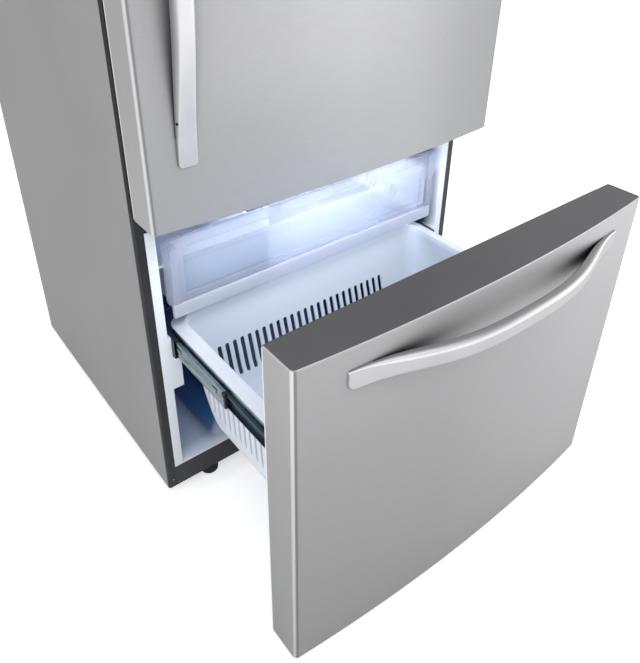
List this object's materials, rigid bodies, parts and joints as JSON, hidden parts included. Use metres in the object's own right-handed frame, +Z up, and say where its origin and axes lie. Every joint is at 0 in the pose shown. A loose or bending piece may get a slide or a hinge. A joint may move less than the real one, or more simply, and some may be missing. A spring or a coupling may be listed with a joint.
{
  "type": "bottom freezer refrigerator",
  "caption": "Free-standing upright refrigerator with a hinged upper door over a pull-out freezer drawer, bowed handles and an upper freezer tray.",
  "frame": {"origin": "on the floor under the middle of the object's box, with the freezer drawer pulled out 390 mm and the door closed", "axes": "+Z up, -Y towards the person who opens the door, +X to that person's right"},
  "size_m": [0.832, 1.295, 1.77],
  "materials": {
    "case_paint": "fine textured paint",
    "frame_paint": "dark satin paint",
    "base_plastic": "satin",
    "galvanised": "galvanised sheet",
    "foam": "rigid foam",
    "liner_plastic": "glossy vacuum-formed sheet",
    "front_steel": "fine satin",
    "cap_plastic": "satin",
    "gasket": "matte",
    "handle_steel": "satin",
    "zinc_slide": "zinc plated",
    "white_plastic": "satin",
    "clear_plastic": "clear moulded plastic",
    "frosted_plastic": "frosted moulded plastic",
    "leg_plastic": "black",
    "roller_plastic": "satin",
    "evaporator_aluminium": "bare",
    "fan_plastic": "matte",
    "compressor_paint": "black paint",
    "condenser_paint": "black paint",
    "pan_plastic": "matte",
    "valve_plastic": "matte",
    "shelf_glass": "clear tempered glass",
    "lamp_lens": "frosted",
    "ice_mould": "coated"
  },
  "bodies": {
    "cabinet": {"side_and_top_wrap": "case_paint", "front_frame": "frame_paint", "base_front": "base_plastic", "base_panels": "galvanised", "back_panel": "galvanised", "insulation_foam": "foam", "freezer_liner": "liner_plastic", "fresh_food_liner": "liner_plastic", "roller_mounts": "galvanised", "slide_outer_members": "zinc_slide", "freezer_duct_cover": "liner_plastic", "evaporator": "evaporator_aluminium", "fan_motors": "fan_plastic", "compressor": "compressor_paint", "condenser_coil": "condenser_paint", "drain_pan": "pan_plastic", "water_valve": "valve_plastic", "machine_room_cover": "galvanised", "shelf_frames": "white_plastic", "shelf_glass": "shelf_glass", "air_tower": "white_plastic", "lamp_lenses": "lamp_lens", "control_housing": "white_plastic", "hinge_brackets": "zinc_slide", "hinge_cover": "cap_plastic", "ice_maker": "ice_mould"},
    "refrigerator_door": {"door_liner": "liner_plastic", "door_skin": "front_steel", "door_end_caps": "cap_plastic", "door_foam": "foam", "door_gasket": "gasket", "door_handle": "handle_steel", "door_bins": "clear_plastic", "dairy_box": "white_plastic"},
    "dairy_flap": {"dairy_flap": "frosted_plastic"},
    "freezer_drawer": {"drawer_skin": "front_steel", "drawer_end_caps": "cap_plastic", "drawer_liner": "liner_plastic", "drawer_foam": "foam", "drawer_gasket": "gasket", "drawer_handle": "handle_steel", "drawer_side_rails": "zinc_slide", "freezer_tub": "white_plastic"},
    "left_slide_middle": {"left_slide_middle": "zinc_slide"},
    "right_slide_middle": {"right_slide_middle": "zinc_slide"},
    "upper_tray": {"tray_body": "clear_plastic", "tray_front": "frosted_plastic", "ice_bin": "frosted_plastic"},
    "left_crisper": {"left_crisper": "clear_plastic"},
    "right_crisper": {"right_crisper": "clear_plastic"},
    "left_humidity_slider": {"left_humidity_slider": "base_plastic"},
    "right_humidity_slider": {"right_humidity_slider": "base_plastic"},
    "temperature_dial": {"temperature_dial": "base_plastic"},
    "ice_ejector": {"ice_ejector": "ice_mould"},
    "evaporator_fan": {"evaporator_fan": "fan_plastic"},
    "condenser_fan": {"condenser_fan": "fan_plastic"},
    "left_levelling_leg": {"left_levelling_leg": "leg_plastic"},
    "right_levelling_leg": {"right_levelling_leg": "leg_plastic"},
    "left_rear_roller": {"left_rear_roller": "roller_plastic"},
    "right_rear_roller": {"right_rear_roller": "roller_plastic"}
  },
  "joints": [
    {"name": "door_hinge", "type": "hinge", "parent": "cabinet", "child": "refrigerator_door", "pos_m": [0.4, -0.1345, 1.2], "axis": [0, 0, 1], "range_deg": [0, 120]},
    {"name": "dairy_flap_hinge", "type": "hinge", "parent": "refrigerator_door", "child": "dairy_flap", "pos_m": [-0.168, -0.0225, 1.596], "axis": [1, 0, 0], "range_deg": [0, 85]},
    {"name": "freezer_drawer_slide", "type": "slide", "parent": "cabinet", "child": "freezer_drawer", "axis": [0, -1, 0], "range_m": [-0.39, 0.03]},
    {"name": "left_middle_slide", "type": "slide", "parent": "cabinet", "child": "left_slide_middle", "axis": [0, -1, 0], "range_m": [-0.195, 0.015]},
    {"name": "right_middle_slide", "type": "slide", "parent": "cabinet", "child": "right_slide_middle", "axis": [0, -1, 0], "range_m": [-0.195, 0.015]},
    {"name": "upper_tray_slide", "type": "slide", "parent": "cabinet", "child": "upper_tray", "axis": [0, -1, 0], "range_m": [0, 0.3]},
    {"name": "left_crisper_slide", "type": "slide", "parent": "cabinet", "child": "left_crisper", "axis": [0, -1, 0], "range_m": [0, 0.196]},
    {"name": "right_crisper_slide", "type": "slide", "parent": "cabinet", "child": "right_crisper", "axis": [0, -1, 0], "range_m": [0, 0.196]},
    {"name": "left_humidity_slide", "type": "slide", "parent": "cabinet", "child": "left_humidity_slider", "axis": [1, 0, 0], "range_m": [0, 0.04]},
    {"name": "right_humidity_slide", "type": "slide", "parent": "cabinet", "child": "right_humidity_slider", "axis": [1, 0, 0], "range_m": [0, 0.04]},
    {"name": "temperature_dial_turn", "type": "hinge", "parent": "cabinet", "child": "temperature_dial", "pos_m": [0.07, -0.0165, 1.658], "axis": [0, -1, 0], "range_deg": [0, 270]},
    {"name": "ice_ejector_turn", "type": "hinge", "parent": "cabinet", "child": "ice_ejector", "pos_m": [-0.223, 0.0705, 0.648], "axis": [1, 0, 0], "continuous": true},
    {"name": "evaporator_fan_turn", "type": "hinge", "parent": "cabinet", "child": "evaporator_fan", "pos_m": [0, 0.4205, 0.597], "axis": [0, 1, 0], "continuous": true},
    {"name": "condenser_fan_turn", "type": "hinge", "parent": "cabinet", "child": "condenser_fan", "pos_m": [-0.15, 0.4955, 0.14], "axis": [1, 0, 0], "continuous": true},
    {"name": "left_leg_turn", "type": "hinge", "parent": "cabinet", "child": "left_levelling_leg", "pos_m": [-0.302, -0.0705, 0.03], "axis": [0, 0, 1], "continuous": true},
    {"name": "right_leg_turn", "type": "hinge", "parent": "cabinet", "child": "right_levelling_leg", "pos_m": [0.302, -0.0705, 0.03], "axis": [0, 0, 1], "continuous": true},
    {"name": "left_roller_turn", "type": "hinge", "parent": "cabinet", "child": "left_rear_roller", "pos_m": [-0.37, 0.6055, 0.014], "axis": [1, 0, 0], "continuous": true},
    {"name": "right_roller_turn", "type": "hinge", "parent": "cabinet", "child": "right_rear_roller", "pos_m": [0.37, 0.6055, 0.014], "axis": [1, 0, 0], "continuous": true}
  ],
  "couplings": [
    {"joint": "left_middle_slide", "follows": "freezer_drawer_slide", "ratio": 0.5},
    {"joint": "right_middle_slide", "follows": "freezer_drawer_slide", "ratio": 0.5},
    {"joint": "left_crisper_slide", "follows": "door_hinge", "m_per_rad": 0.093106},
    {"joint": "right_crisper_slide", "follows": "door_hinge", "m_per_rad": 0.093106}
  ]
}
